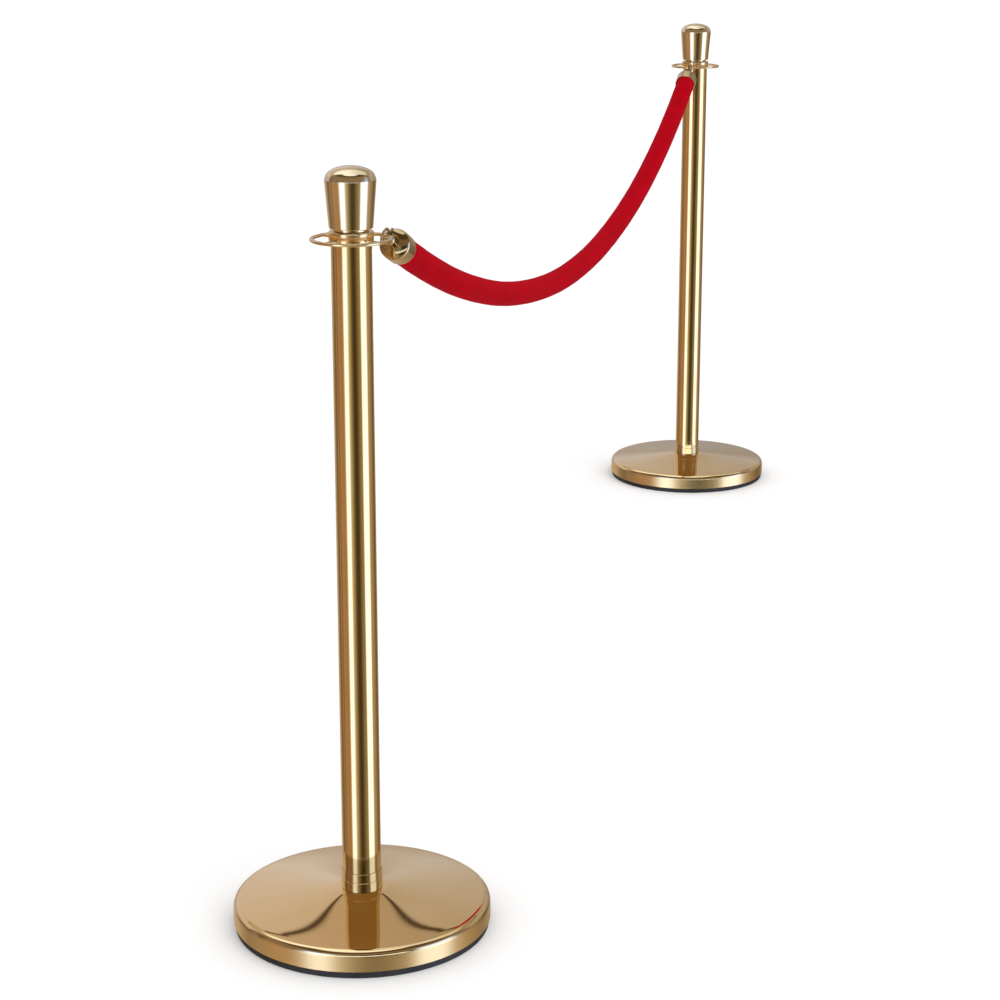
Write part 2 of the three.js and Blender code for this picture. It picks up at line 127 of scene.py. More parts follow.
def finished(name, mesh, sharp=35):
    """An object of a mesh, smooth but for the edges sharper than an angle in degrees."""
    mesh.shade_smooth()
    mesh.set_sharp_from_angle(angle=math.radians(sharp))
    piece = bpy.data.objects.new(name, mesh)
    bpy.context.scene.collection.objects.link(piece)
    return piece


def mesh_of(name, builder):
    """A mesh from a bmesh, with its faces turned outwards."""
    bmesh.ops.recalc_face_normals(builder, faces=builder.faces)
    mesh = bpy.data.meshes.new(name)
    builder.to_mesh(mesh)
    builder.free()
    return mesh


def rounded(corners, steps=5):
    """Outline points from (x, y) or (x, y, fillet) corners: each corner with a fillet becomes an arc.

    A close point before and after each arc keeps the long walls beside it shaded as flat.
    """
    outline = []
    count = len(corners)
    for i, corner in enumerate(corners):
        here = Vector(corner[:2])
        fillet = corner[2] if len(corner) > 2 else 0
        if not fillet:
            outline.append(here)
            continue
        back = (Vector(corners[i - 1][:2]) - here).normalized()
        ahead = (Vector(corners[(i + 1) % count][:2]) - here).normalized()
        half = back.angle(ahead) / 2
        centre = here + (back + ahead).normalized() * fillet / math.sin(half)
        start = here + back * fillet / math.tan(half) - centre
        end = here + ahead * fillet / math.tan(half) - centre
        margin = min(0.3 * fillet, 0.15)
        outline.append(centre + start + back * margin)
        for step in range(steps + 1):
            share = step / steps
            spoke = start.slerp(end, share).normalized()
            outline.append(centre + spoke * fillet)
        outline.append(centre + end + ahead * margin)
    return outline


def add_lathe(builder, outline, facets, turn=Matrix.Identity(4)):
    """Adds a solid of revolution about Z to a bmesh.

    The outline, in mm, either starts and ends on the axis or is closed and stays clear of it.
    """
    on_axis = outline[0][0] < 1e-6
    rings = []
    for radius, height in outline:
        if radius < 1e-6:
            rings.append([builder.verts.new(turn @ Vector((0, 0, height * MM)))])
            continue
        ring = []
        for i in range(facets):
            angle = 2 * math.pi * i / facets
            spot = Vector((radius * math.cos(angle), radius * math.sin(angle), height)) * MM
            ring.append(builder.verts.new(turn @ spot))
        rings.append(ring)
    pairs = list(zip(rings, rings[1:]))
    if not on_axis:
        pairs.append((rings[-1], rings[0]))
    for lower, upper in pairs:
        for i in range(facets):
            j = (i + 1) % facets
            below = [lower[i % len(lower)], lower[j % len(lower)]]
            over = [upper[j % len(upper)], upper[i % len(upper)]]
            unique = list(dict.fromkeys(below + over))
            if len(unique) > 2:
                builder.faces.new(unique)


def lathe(name, outline, facets=ROUND, place=Vector((0, 0, 0))):
    """A turned piece standing on its own axis."""
    builder = bmesh.new()
    add_lathe(builder, outline, facets)
    piece = finished(name, mesh_of(name, builder))
    piece.location = place
    return piece


def add_sweep(builder, centres, radii, sides):
    """Adds a round tube through centre points, in metres, with a radius at each, to a bmesh."""
    rings = []
    side = None
    for i, centre in enumerate(centres):
        before = centres[max(i - 1, 0)]
        after = centres[min(i + 1, len(centres) - 1)]
        tangent = (after - before).normalized()
        if side is None:
            side = tangent.orthogonal().normalized()
        side = (side - tangent * side.dot(tangent)).normalized()
        up = tangent.cross(side)
        ring = []
        for k in range(sides):
            angle = 2 * math.pi * k / sides
            reach = side * math.cos(angle) + up * math.sin(angle)
            ring.append(builder.verts.new(centre + reach * radii[i]))
        rings.append(ring)
    for lower, upper in zip(rings, rings[1:]):
        for k in range(sides):
            m = (k + 1) % sides
            builder.faces.new((lower[k], lower[m], upper[m], upper[k]))
    builder.faces.new(rings[0])
    builder.faces.new(rings[-1])


def spline_points(points, steps):
    """Points on a smooth curve through others (centripetal Catmull-Rom), steps to each stretch."""
    ends = [2 * points[0] - points[1], *points, 2 * points[-1] - points[-2]]
    result = []
    for a, b, c, d in zip(ends, ends[1:], ends[2:], ends[3:]):
        knots = [0]
        for p, q in ((a, b), (b, c), (c, d)):
            knots.append(knots[-1] + math.sqrt((q - p).length))
        for step in range(steps):
            t = knots[1] + (knots[2] - knots[1]) * step / steps
            result.append(catmull_rom(a, b, c, d, knots, t))
    result.append(points[-1])
    return result


def catmull_rom(a, b, c, d, knots, t):
    """One point of the curve between b and c."""
    k0, k1, k2, k3 = knots
    ab = a.lerp(b, (t - k0) / (k1 - k0))
    bc = b.lerp(c, (t - k1) / (k2 - k1))
    cd = c.lerp(d, (t - k2) / (k3 - k2))
    abc = ab.lerp(bc, (t - k0) / (k2 - k0))
    bcd = bc.lerp(cd, (t - k1) / (k3 - k1))
    return abc.lerp(bcd, (t - k1) / (k2 - k1))


# ---------------------------------------------------------------- materials

NOISE_LOW, NOISE_HIGH = 0.3, 0.7  # nearly all of a noise texture's values lie between these


class Tree:
    """A node tree with short calls for what the finishes and the studio share."""

    def __init__(self, tree):
        self.tree = tree

    def add(self, kind):
        return self.tree.nodes.new(kind)

    def link(self, source, target):
        self.tree.links.new(source, target)

    def feed(self, socket, value):
        """Links a node's output to a socket, or sets the socket to a plain value."""
        if isinstance(value, bpy.types.NodeSocket):
            self.link(value, socket)
        else:
            socket.default_value = value

    def math(self, operation, *values):
        node = self.add("ShaderNodeMath")
        node.operation = operation
        for socket, value in zip(node.inputs, values):
            self.feed(socket, value)
        return node.outputs[0]


class Finish(Tree):
    """A material's node tree."""

    def __init__(self, name):
        self.material = bpy.data.materials.new(name)
        self.material.use_nodes = True
        super().__init__(self.material.node_tree)
        self.shader = self.tree.nodes["Principled BSDF"]
        self.object_space = self.add("ShaderNodeTexCoord").outputs["Object"]

    def set(self, **values):
        for name, value in values.items():
            self.shader.inputs[name.replace("_", " ")].default_value = value

    def scaled(self, scale):
        """Object coordinates stretched by three factors."""
        mapping = self.add("ShaderNodeMapping")
        mapping.inputs["Scale"].default_value = scale
        self.link(self.object_space, mapping.inputs["Vector"])
        return mapping.outputs["Vector"]

    def turned_grain(self):
        """(distance from the axis, 0, height): lines in it run round a turned piece."""
        split = self.add("ShaderNodeSeparateXYZ")
        self.link(self.object_space, split.inputs[0])
        squares = [self.math("MULTIPLY", split.outputs[i], split.outputs[i]) for i in (0, 1)]
        radius = self.math("SQRT", self.math("ADD", *squares))
        joined = self.add("ShaderNodeCombineXYZ")
        self.link(radius, joined.inputs[0])
        self.link(split.outputs[2], joined.inputs[2])
        return joined.outputs[0]

    def noise(self, vector, scale, detail=3, roughness=0.5):
        node = self.add("ShaderNodeTexNoise")
        self.link(vector, node.inputs["Vector"])
        node.inputs["Scale"].default_value = scale
        node.inputs["Detail"].default_value = detail
        node.inputs["Roughness"].default_value = roughness
        return node.outputs["Fac"]

    def roughness(self, noise, low, high):
        """Sets the roughness between two numbers, by a noise value."""
        node = self.add("ShaderNodeMapRange")
        self.link(noise, node.inputs["Value"])
        node.inputs["From Min"].default_value = NOISE_LOW
        node.inputs["From Max"].default_value = NOISE_HIGH
        node.inputs["To Min"].default_value = low
        node.inputs["To Max"].default_value = high
        self.link(node.outputs["Result"], self.shader.inputs["Roughness"])

    def colour(self, noise, low, high):
        """Sets the base colour between two others, by a noise value."""
        node = self.add("ShaderNodeValToRGB")
        self.link(noise, node.inputs["Fac"])
        start, end = node.color_ramp.elements
        start.position, end.position = NOISE_LOW, NOISE_HIGH
        start.color, end.color = (*low, 1), (*high, 1)
        self.link(node.outputs["Color"], self.shader.inputs["Base Color"])

    def bump(self, height, distance, strength, under=None):
        """Adds relief of a height field, on top of another bump's normal."""
        node = self.add("ShaderNodeBump")
        node.inputs["Distance"].default_value = distance
        node.inputs["Strength"].default_value = strength
        self.link(height, node.inputs["Height"])
        if under is not None:
            self.link(under, node.inputs["Normal"])
        self.link(node.outputs["Normal"], self.shader.inputs["Normal"])
        return node.outputs["Normal"]


PLATE_TONES = ((0.89, 0.64, 0.30), (0.93, 0.70, 0.36))
# Paler copy of the plate gold for the crown heads: painted highlight, standing in for the bright
# reflections on them.
PAINTED_HIGHLIGHT_TONES = ((0.91, 0.73, 0.43), (0.95, 0.78, 0.49))
# Darker copy of the plate gold for the hooks and ferrules: painted shade, standing in for the dark
# reflections on them.
PAINTED_SHADE_TONES = ((0.46, 0.33, 0.15), (0.70, 0.52, 0.26))


def gold(name, low_roughness, high_roughness, grain=None, tones=PLATE_TONES):
    """Titanium-gold plate over polished steel: faint smears, and polishing lines along a grain."""
    nodes = Finish(name)
    nodes.set(Metallic=1.0)
    smears = nodes.noise(nodes.object_space, 14, detail=4)
    nodes.colour(smears, *tones)
    vector = nodes.scaled(grain) if grain else nodes.turned_grain()
    lines = nodes.noise(vector, 900, detail=2)
    wear = nodes.math("ADD", nodes.math("MULTIPLY", smears, 0.6), nodes.math("MULTIPLY", lines, 0.4))
    nodes.roughness(wear, low_roughness, high_roughness)
    nodes.bump(lines, 0.00002, 0.12)
    return nodes.material


def dark_brass():
    """Brass in a dark tone, blotched finely between two browns."""
    nodes = Finish("dark_brass")
    nodes.set(Metallic=1.0)
    blotches = nodes.noise(nodes.object_space, 300, detail=4)
    nodes.colour(blotches, (0.20, 0.13, 0.05), (0.42, 0.29, 0.12))
    nodes.roughness(blotches, 0.22, 0.4)
    nodes.bump(blotches, 0.00005, 0.2)
    return nodes.material


def cast_iron():
    """Black enamel brushed over a sand casting."""
    nodes = Finish("cast_iron")
    sand = nodes.noise(nodes.object_space, 420, detail=6, roughness=0.6)
    brush = nodes.noise(nodes.object_space, 25, detail=3)
    nodes.colour(brush, (0.012, 0.012, 0.013), (0.05, 0.05, 0.052))
    nodes.roughness(sand, 0.5, 0.8)
    nodes.bump(sand, 0.0006, 0.5)
    return nodes.material


def zinc_steel():
    """Zinc plate with its faint cloudy crystals."""
    nodes = Finish("zinc_steel")
    nodes.set(Metallic=1.0)
    clouds = nodes.noise(nodes.object_space, 180, detail=5)
    nodes.colour(clouds, (0.50, 0.51, 0.53), (0.70, 0.71, 0.72))
    nodes.roughness(clouds, 0.24, 0.42)
    nodes.bump(clouds, 0.00004, 0.3)
    return nodes.material


def black_rubber():
    """Matt black rubber with fine pores and a little dust."""
    nodes = Finish("black_rubber")
    pores = nodes.noise(nodes.object_space, 1400, detail=3)
    dust = nodes.noise(nodes.object_space, 40, detail=4)
    nodes.colour(dust, (0.010, 0.010, 0.012), (0.028, 0.028, 0.031))
    nodes.roughness(pores, 0.5, 0.75)
    nodes.bump(pores, 0.0001, 0.3)
    return nodes.material


def red_velvet():
    """Short red pile: fine fibres, soft patches where the nap leans over, and a faint sheen."""
    nodes = Finish("red_velvet")
    nodes.set(Sheen_Weight=0.01, Sheen_Roughness=0.4, Sheen_Tint=(1.0, 0.05, 0.05, 1))
    nodes.set(Specular_IOR_Level=0.02)
    fibres = nodes.noise(nodes.object_space, 2600, detail=2)
    nap = nodes.noise(nodes.scaled((1, 2.5, 2.5)), 24, detail=4, roughness=0.6)
    tone = nodes.math("ADD", nodes.math("MULTIPLY", nap, 0.65), nodes.math("MULTIPLY", fibres, 0.35))
    nodes.colour(tone, (0.32, 0.0002, 0.005), (0.46, 0.0004, 0.009))
    nodes.roughness(nap, 0.85, 1.0)
    ruffle = nodes.bump(nap, 0.001, 0.25)
    nodes.bump(fibres, 0.0003, 0.5, under=ruffle)
    return nodes.material


def core_cotton():
    """Twisted cotton round foam."""
    nodes = Finish("core_cotton")
    twist = nodes.noise(nodes.scaled((1, 4, 4)), 220, detail=3)
    nodes.colour(twist, (0.55, 0.50, 0.40), (0.80, 0.76, 0.66))
    nodes.roughness(twist, 0.85, 1.0)
    nodes.bump(twist, 0.0005, 0.5)
    return nodes.material


finishes = {
    "tube_gold": gold("tube_gold", 0.06, 0.10, grain=(1, 1, 0.01)),
    "dome_gold": gold("dome_gold", 0.015, 0.035),
    # The crown heads' gold is paler than the plate gold: painted highlight.
    "head_gold_painted_highlight": gold("head_gold_painted_highlight", 0.11, 0.15, tones=PAINTED_HIGHLIGHT_TONES),
    "ring_gold": gold("ring_gold", 0.14, 0.20),
    "satin_gold": gold("satin_gold", 0.24, 0.30),
    # The hooks' and ferrules' gold is darker than the plate gold: painted shade.
    "painted_shade_gold": gold("painted_shade_gold", 0.07, 0.12, grain=(0.3, 0.3, 0.3), tones=PAINTED_SHADE_TONES),
    "dark_brass": dark_brass(),
    "cast_iron": cast_iron(),
    "zinc_steel": zinc_steel(),
    "black_rubber": black_rubber(),
    "red_velvet": red_velvet(),
    "core_cotton": core_cotton(),
}


def dress(piece, finish):
    """Gives a piece one finish."""
    piece.data.materials.clear()
    piece.data.materials.append(finishes[finish])


def dress_below(piece, height, finish):
    """Gives the faces below a height in mm a finish of their own."""
    piece.data.materials.append(finishes[finish])
    for face in piece.data.polygons:
        if face.center.z < height * MM:
            face.material_index = 1


def install(piece, body, slot, finish, *nodes):
    """Dresses a piece, makes it ride on its body and stand for its CAD nodes."""
    dress(piece, finish)
    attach(piece, body)
    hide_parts(*nodes)
    return piece


# ---------------------------------------------------------------- rope


def rope_path(steps):
    """The rope's centreline, from the near end to the far end, as its hooks' bearing points set it."""
    swing = joints["rope_swing"]
    across = Vector(swing["axis"]).normalized()
    (run_a, rise_a), (run_b, rise_b) = ROPE_ROUTE[-2:]
    slope = math.atan2(rise_b - rise_a, run_b - run_a)
    lowest = swing["pos_m"][2] - BEARING_TO_ROPE * math.sin(slope) - rise_b
    centre = middle_of("velvet_sleeve")
    near_half = [(-along, up) for along, up in reversed(ROPE_ROUTE[1:])]
    points = []
    for along, up in [*near_half, *ROPE_ROUTE]:
        points.append(Vector((centre.x, centre.y, lowest + up)) + across * along)
    return spline_points(points, steps)


def tube_piece(name, path, radius, sides, ripple=0.0):
    """A tube along a path, its radius rippling softly along its length."""
    centre = path[len(path) // 2]
    centres = [spot - centre for spot in path]
    radii = [radius * (1 + ripple * math.sin(i * 0.9) * math.sin(i * 0.23)) for i in range(len(path))]
    builder = bmesh.new()
    add_sweep(builder, centres, radii, sides)
    piece = finished(name, mesh_of(name, builder), sharp=60)
    piece.location = centre
    return piece


def make_rope():
    """Velvet sleeve and its core; gives back both and the sleeve's centre points."""
    path = rope_path(steps=12)
    velvet = tube_piece("velvet_rope", path, ROPE_RADIUS, 64, ripple=0.006)
    install(velvet, "rope", "red_velvet", "red_velvet", "velvet_sleeve")
    core = tube_piece("cotton_core", path[2:-2], CORE_RADIUS, 32, ripple=0.01)
    install(core, "rope", "core_foam", "core_cotton", "rope_core")
    return velvet, core, path


velvet_rope, cotton_core, rope_centres = make_rope()

# ---------------------------------------------------------------- posts

BASE_RADIUS = 160
RUBBER_TOP = 8
RUBBER_INNER = 118
RUBBER_OUTER = 158
WEIGHT_RADIUS = 150
WEIGHT_TOP = 23
WEIGHT_BOSS_RADIUS = 28
RECESS_RADIUS = 14
RECESS_TOP = 20
WALL_TOP = 27.5
SHOULDER_RADIUS = 8
LAND_TOP = 48
LAND_RADIUS = 30
SHEET = 1.6
COLLAR_HEIGHT = 12.5
COLLAR_RADIUS = 25.5
CUFF_HEIGHT = 11
CUFF_RADIUS = 25
TUBE_RADIUS = 24
TUBE_WALL = 1.5
RING_BOTTOM = 858
RING_THICKNESS = 4
RING_INNER = 43.5
RING_OUTER = 48.5
HUB_RADIUS = 26.3
HUB_TOP = 870
SPOKE_WIDTH = 5
SPOKES = 4
HEAD_BOTTOM = 873
HEAD_TOP = 945
HEAD_RIM = 929
HEAD_FOOT_RADIUS = 25.8
HEAD_RIM_RADIUS = 30.3
ROD_RADIUS = 6
ROD_BORE = 6.3
STUD_RADIUS = 5
STUD_BORE = 5.3
NUT_ACROSS_FLATS = 19
NUT_HEIGHT = 8
WASHER_RADIUS = 13
WASHER_THICKNESS = 2
PLUG_LENGTH = 22
THREAD_REACH = 18


def dome_height(radius):
    """Height of the cover's dome at a radius: a shallow cone that flares up to its seat."""
    rim = WALL_TOP + SHOULDER_RADIUS
    share = (radius - LAND_RADIUS) / (BASE_RADIUS - SHOULDER_RADIUS - LAND_RADIUS)
    cone = 0.88 * (1 - share) + 0.09 * (1 - share) ** 4 + 0.03 * (1 - share ** 8)
    return rim + (LAND_TOP - rim) * cone


def base_cover_outline():
    """Spun cover: side wall, rounded shoulder, low dome and the seat for the tube."""
    steps = 24
    dome_edge = BASE_RADIUS - SHOULDER_RADIUS
    radii = [dome_edge + (LAND_RADIUS - dome_edge) * i / steps for i in range(steps + 1)]
    shoulder = []
    for i in range(13):
        angle = math.radians(84 * i / 12)
        shoulder.append((math.cos(angle), math.sin(angle)))
    bottom = RUBBER_TOP + GAP
    outline = [(BASE_RADIUS - 0.6, bottom), (BASE_RADIUS, bottom + 0.6), (BASE_RADIUS, WALL_TOP - 0.5)]
    outline += [(dome_edge + SHOULDER_RADIUS * x, WALL_TOP + SHOULDER_RADIUS * y) for x, y in shoulder]
    outline += [(radius, dome_height(radius)) for radius in radii[1:]]
    outline += [(7, LAND_TOP), (7, LAND_TOP - SHEET)]
    outline += [(radius, dome_height(radius) - SHEET) for radius in reversed(radii[1:])]
    inside = SHOULDER_RADIUS - SHEET
    outline += [(dome_edge + inside * x, WALL_TOP + inside * y) for x, y in reversed(shoulder)]
    outline += [(BASE_RADIUS - SHEET, bottom)]
    return outline


def base_weight_outline():
    """Cast weight: a plate with a boss under the seat and a recess for the nut."""
    bottom = RUBBER_TOP + GAP
    boss_top = LAND_TOP - SHEET - GAP
    fillet = 6
    return rounded([
        (RECESS_RADIUS, bottom),
        (WEIGHT_RADIUS, bottom, 1),
        (WEIGHT_RADIUS, WEIGHT_TOP, 3),
        (WEIGHT_BOSS_RADIUS + fillet, WEIGHT_TOP, 3),
        (WEIGHT_BOSS_RADIUS, WEIGHT_TOP + fillet, 2),
        (WEIGHT_BOSS_RADIUS, boss_top, 1),
        (ROD_BORE, boss_top),
        (ROD_BORE, RECESS_TOP),
        (RECESS_RADIUS, RECESS_TOP),
    ])


def rubber_outline():
    """Flat rubber ring that the post stands on."""
    return sleeve_outline(RUBBER_INNER, RUBBER_OUTER, 0, RUBBER_TOP, 0.8)


def sleeve_outline(inner, outer, bottom, top, fillet):
    """A ring or pipe of square section with all four edges rounded."""
    return rounded([
        (inner, bottom, fillet),
        (outer, bottom, fillet),
        (outer, top, fillet),
        (inner, top, fillet),
    ])


def collar_outline(bottom):
    """Collar round the foot of the tube: a plain band, a groove and a thinner cuff above it."""
    inner = TUBE_RADIUS + GAP
    band_top = bottom + COLLAR_HEIGHT
    cuff_bottom = band_top + 0.8
    cuff_top = cuff_bottom + CUFF_HEIGHT
    return rounded([
        (inner, bottom),
        (COLLAR_RADIUS, bottom, 0.3),
        (COLLAR_RADIUS, band_top, 0.4),
        (inner + 0.4, band_top),
        (inner + 0.4, cuff_bottom),
        (CUFF_RADIUS, cuff_bottom, 0.2),
        (CUFF_RADIUS, cuff_top, 0.3),
        (inner, cuff_top),
    ])


def rod_outline(radius, bottom, top):
    """A plain rod with chamfered ends."""
    chamfer = radius / 6
    return [
        (0, bottom),
        (radius - chamfer, bottom),
        (radius, bottom + chamfer),
        (radius, top - chamfer),
        (radius - chamfer, top),
        (0, top),
    ]


def threaded_outline(radius, bottom, top, pitch=1.75):
    """A rod with thread grooves cut into it, crest by crest."""
    depth = 0.6
    crests = int((top - bottom - 2 * depth) / pitch)
    outline = [(0, bottom), (radius - depth, bottom)]
    for i in range(crests):
        foot = bottom + depth + i * pitch
        outline += [(radius - depth, foot), (radius, foot + pitch * 0.45), (radius, foot + pitch * 0.55)]
    outline += [(radius - depth, top), (0, top)]
    return outline


def head_outline():
    """Crown head: tapered sides, a soft rim and a domed top over a thick foot."""
    shell = 2.2
    spigot = 21
    foot_top = HEAD_BOTTOM + 8
    dome_foot = HEAD_RIM + 3
    dome_radius = HEAD_RIM_RADIUS - 1.5
    dome_rise = HEAD_TOP - dome_foot
    first_share = 0.985
    outer = rounded([
        (STUD_BORE, foot_top),
        (STUD_BORE, HUB_TOP + GAP),
        (spigot, HUB_TOP + GAP, 0.5),
        (spigot, HEAD_BOTTOM, 0.5),
        (HEAD_FOOT_RADIUS, HEAD_BOTTOM, 1.2),
        (HEAD_RIM_RADIUS, HEAD_RIM, 2.5),
        (dome_radius * first_share, dome_foot + dome_rise * math.sqrt(1 - first_share ** 2)),
    ], steps=10)
    dome = []
    steps = 28
    for i in range(1, steps):
        share = first_share * math.cos(math.pi / 2 * i / steps)
        dome.append((dome_radius * share, dome_foot + dome_rise * math.sqrt(1 - share ** 2)))
    inner = [
        (0, HEAD_TOP - shell),
        (dome_radius - 3 * shell, dome_foot - 1),
        (HEAD_FOOT_RADIUS - shell, foot_top),
    ]
    return [*inner, *outer, *dome, (0, HEAD_TOP)]


def hook_ring(name, turn):
    """Flat ring on a raised hub, with four spokes that leave four slots for rope hooks."""
    top = RING_BOTTOM + RING_THICKNESS
    builder = bmesh.new()
    add_lathe(builder, rounded([
        (STUD_BORE, RING_BOTTOM),
        (HUB_RADIUS, RING_BOTTOM, 1),
        (HUB_RADIUS, HUB_TOP, 2),
        (STUD_BORE, HUB_TOP),
    ]), ROUND)
    add_lathe(builder, sleeve_outline(RING_INNER, RING_OUTER, RING_BOTTOM, top, 1.7), ROUND)
    for i in range(SPOKES):
        add_spoke(builder, 2 * math.pi * i / SPOKES)
    piece = finished(name, mesh_of(name, builder))
    piece.rotation_euler.z = turn
    return piece


def add_spoke(builder, angle):
    """One flat spoke from hub to ring, a little waisted, its edges broken."""
    steps = 10
    start, end = HUB_RADIUS - 3, RING_INNER + 2
    half_height = (RING_THICKNESS - 1) / 2
    level = RING_BOTTOM + RING_THICKNESS / 2
    turn = Matrix.Rotation(angle, 4, "Z")
    rings = []
    for i in range(steps + 1):
        share = i / steps
        reach = start + (end - start) * share
        half_width = SPOKE_WIDTH / 2 * (0.86 + 0.45 * (2 * share - 1) ** 4)
        edge = 0.5
        section = [
            (half_width, half_height - edge),
            (half_width - edge, half_height),
            (edge - half_width, half_height),
            (-half_width, half_height - edge),
            (-half_width, edge - half_height),
            (edge - half_width, -half_height),
            (half_width - edge, -half_height),
            (half_width, edge - half_height),
        ]
        rings.append([builder.verts.new(turn @ Vector((reach, y, level + z)) * MM) for y, z in section])
    for lower, upper in zip(rings, rings[1:]):
        for k in range(8):
            m = (k + 1) % 8
            builder.faces.new((lower[k], lower[m], upper[m], upper[k]))
    builder.faces.new(rings[0])
    builder.faces.new(rings[-1])


def hex_nut(name, place, bottom, height, across_flats):
    """Hexagon nut with chamfered corners and a round bore."""
    facets = 48
    corner = across_flats / 2 / math.cos(math.pi / 6)
    chamfer = 1.2
    levels = [
        (0, corner - chamfer),
        (chamfer / 2, corner),
        (height - chamfer / 2, corner),
        (height, corner - chamfer),
    ]
    builder = bmesh.new()
    rings = []
    for level, limit in levels:
        ring = []
        for i in range(facets):
            angle = 2 * math.pi * i / facets
            within = (angle + math.pi / 6) % (math.pi / 3) - math.pi / 6
            reach = min(across_flats / 2 / math.cos(within), limit)
            spot = Vector((reach * math.cos(angle), reach * math.sin(angle), bottom + level))
            ring.append(builder.verts.new(spot * MM))
        rings.append(ring)
    for level in (height, 0):
        ring = []
        for i in range(facets):
            angle = 2 * math.pi * i / facets
            spot = Vector((ROD_BORE * math.cos(angle), ROD_BORE * math.sin(angle), bottom + level))
            ring.append(builder.verts.new(spot * MM))
        rings.append(ring)
    for lower, upper in zip(rings, [*rings[1:], rings[0]]):
        for i in range(facets):
            j = (i + 1) % facets
            builder.faces.new((lower[i], lower[j], upper[j], upper[i]))
    piece = finished(name, mesh_of(name, builder), sharp=25)
    piece.location = place
    return piece


def make_post(prefix):
    """Every piece of one post but its hook ring."""
    place = axis_of(prefix)
    tube_bottom = LAND_TOP + GAP
    tube_top = RING_BOTTOM - GAP
    plug_radius = TUBE_RADIUS - TUBE_WALL - GAP
    plug_top = tube_bottom + PLUG_LENGTH
    washer_top = RECESS_TOP - GAP
    washer_bottom = washer_top - WASHER_THICKNESS
    nut_bottom = washer_bottom - GAP - NUT_HEIGHT
    turned = [
        ("rubber_foot", rubber_outline(), "black_rubber", "black_rubber"),
        ("base_weight", base_weight_outline(), "cast_iron", "cast_iron"),
        ("base_cover", base_cover_outline(), "polished_gold", "dome_gold"),
        ("rod_washer", sleeve_outline(ROD_BORE, WASHER_RADIUS, washer_bottom, washer_top, 0.3),
         "zinc_steel", "zinc_steel"),
        ("tie_rod", threaded_outline(ROD_RADIUS, nut_bottom - 0.5, tube_bottom + THREAD_REACH),
         "zinc_steel", "zinc_steel"),
        ("tube_foot_plug", sleeve_outline(ROD_BORE, plug_radius, tube_bottom, plug_top, 0.8),
         "zinc_steel", "zinc_steel"),
        ("tube", sleeve_outline(TUBE_RADIUS - TUBE_WALL, TUBE_RADIUS, tube_bottom, tube_top, 0.5),
         "polished_gold", "tube_gold"),
        ("foot_collar", collar_outline(tube_bottom), "satin_gold", "tube_gold"),
        ("tube_top_plug", sleeve_outline(STUD_BORE, plug_radius, tube_top - PLUG_LENGTH, tube_top, 0.8),
         "zinc_steel", "zinc_steel"),
        ("head_stud",
         threaded_outline(STUD_RADIUS, tube_top - THREAD_REACH, HEAD_BOTTOM + THREAD_REACH, pitch=1.5),
         "zinc_steel", "zinc_steel"),
        # The head takes the paler gold, a painted highlight.
        ("crown_head", head_outline(), "polished_gold", "head_gold_painted_highlight"),
    ]
    for name, outline, slot, finish in turned:
        node = f"{prefix}_{name}"
        piece = lathe(f"{node}_fine", outline, place=place)
        install(piece, "posts", slot, finish, node)
        if name == "base_cover":
            dress_below(piece, WALL_TOP + 2, "satin_gold")
    nut = hex_nut(f"{prefix}_rod_nut_fine", place, nut_bottom, NUT_HEIGHT, NUT_ACROSS_FLATS)
    install(nut, "posts", "zinc_steel", "zinc_steel", f"{prefix}_rod_nut")


for prefix, turn in (("near", math.radians(-25)), ("far", math.radians(45))):
    make_post(prefix)
    ring = hook_ring(f"{prefix}_hook_ring_fine", turn)
    ring.location = axis_of(prefix)
    install(ring, "posts", "polished_gold", "ring_gold", f"{prefix}_hook_ring")

# ---------------------------------------------------------------- rope ends
# Each is drawn in mm with X along the hook's pull, from the ring towards the rope, and Z up.

PIVOT_ALONG = 15.5
PIVOT_UP = 4.5
PIN_RADIUS = 1.2
# The CAD has 2.1. Here that touches the near ring at full swing, because hook_frame() sets the
# pieces of each rope end 0.9 mm (GATE_SHIFT) to one side of their CAD pieces.
WIRE_RADIUS = 1.7
LOOP_RADIUS = 8.6
BOSS_RADIUS = 6.5
BOSS_START = 19
BOSS_END = 38
GATE_LENGTH = 9.9
GATE_ANGLE = math.radians(166.6)
GATE_THICKNESS = 2.6
GATE_SHIFT = 0.9
FORK_WIDTH = 8.6
FORK_SLOT = 4.8
FERRULE_RADIUS = 19.3
FERRULE_BORE = 18.3
FERRULE_SHOULDER = 46
FERRULE_MOUTH = 70
FERRULE_SEAT = 44  # inside face that the swivel stud's head bears on
SWIVEL_START = 27
SWIVEL_RADIUS = 2.4
SWIVEL_HEAD_RADIUS = 6
SWIVEL_HEAD_HEIGHT = 2.5
PIN_CLEARANCE = 0.15
PIN_REACH = 4.2  # half of the pin's length


def hook_frame(prefix):
    """Matrix from a hook's own axes to the row frame, worked out from its swivel and its gate's hinge."""
    pull = Vector(joints[f"{prefix}_hook_swivel"]["axis"]).normalized()
    side = -Vector(joints[f"{prefix}_gate_open"]["axis"]).normalized()
    up = pull.cross(side).normalized()
    side = up.cross(pull)
    pivot = Vector(joints[f"{prefix}_gate_open"]["pos_m"])
    # The gate pivot already holds GATE_SHIFT, which is not taken off here.
    origin = pivot - pull * PIVOT_ALONG * MM - up * PIVOT_UP * MM
    turn = Matrix((pull, side, up)).transposed().to_4x4()
    return Matrix.Translation(origin) @ turn


ALONG_X = Matrix.Rotation(math.pi / 2, 4, "Y")
ALONG_Y = Matrix.Rotation(math.pi / 2, 4, "X")


def arc_points(centre_x, centre_y, radius, start, end, steps):
    """Points of an arc between two angles in degrees."""
    points = []
    for i in range(steps + 1):
        angle = math.radians(start + (end - start) * i / steps)
        points.append((centre_x + radius * math.cos(angle), centre_y + radius * math.sin(angle)))
    return points


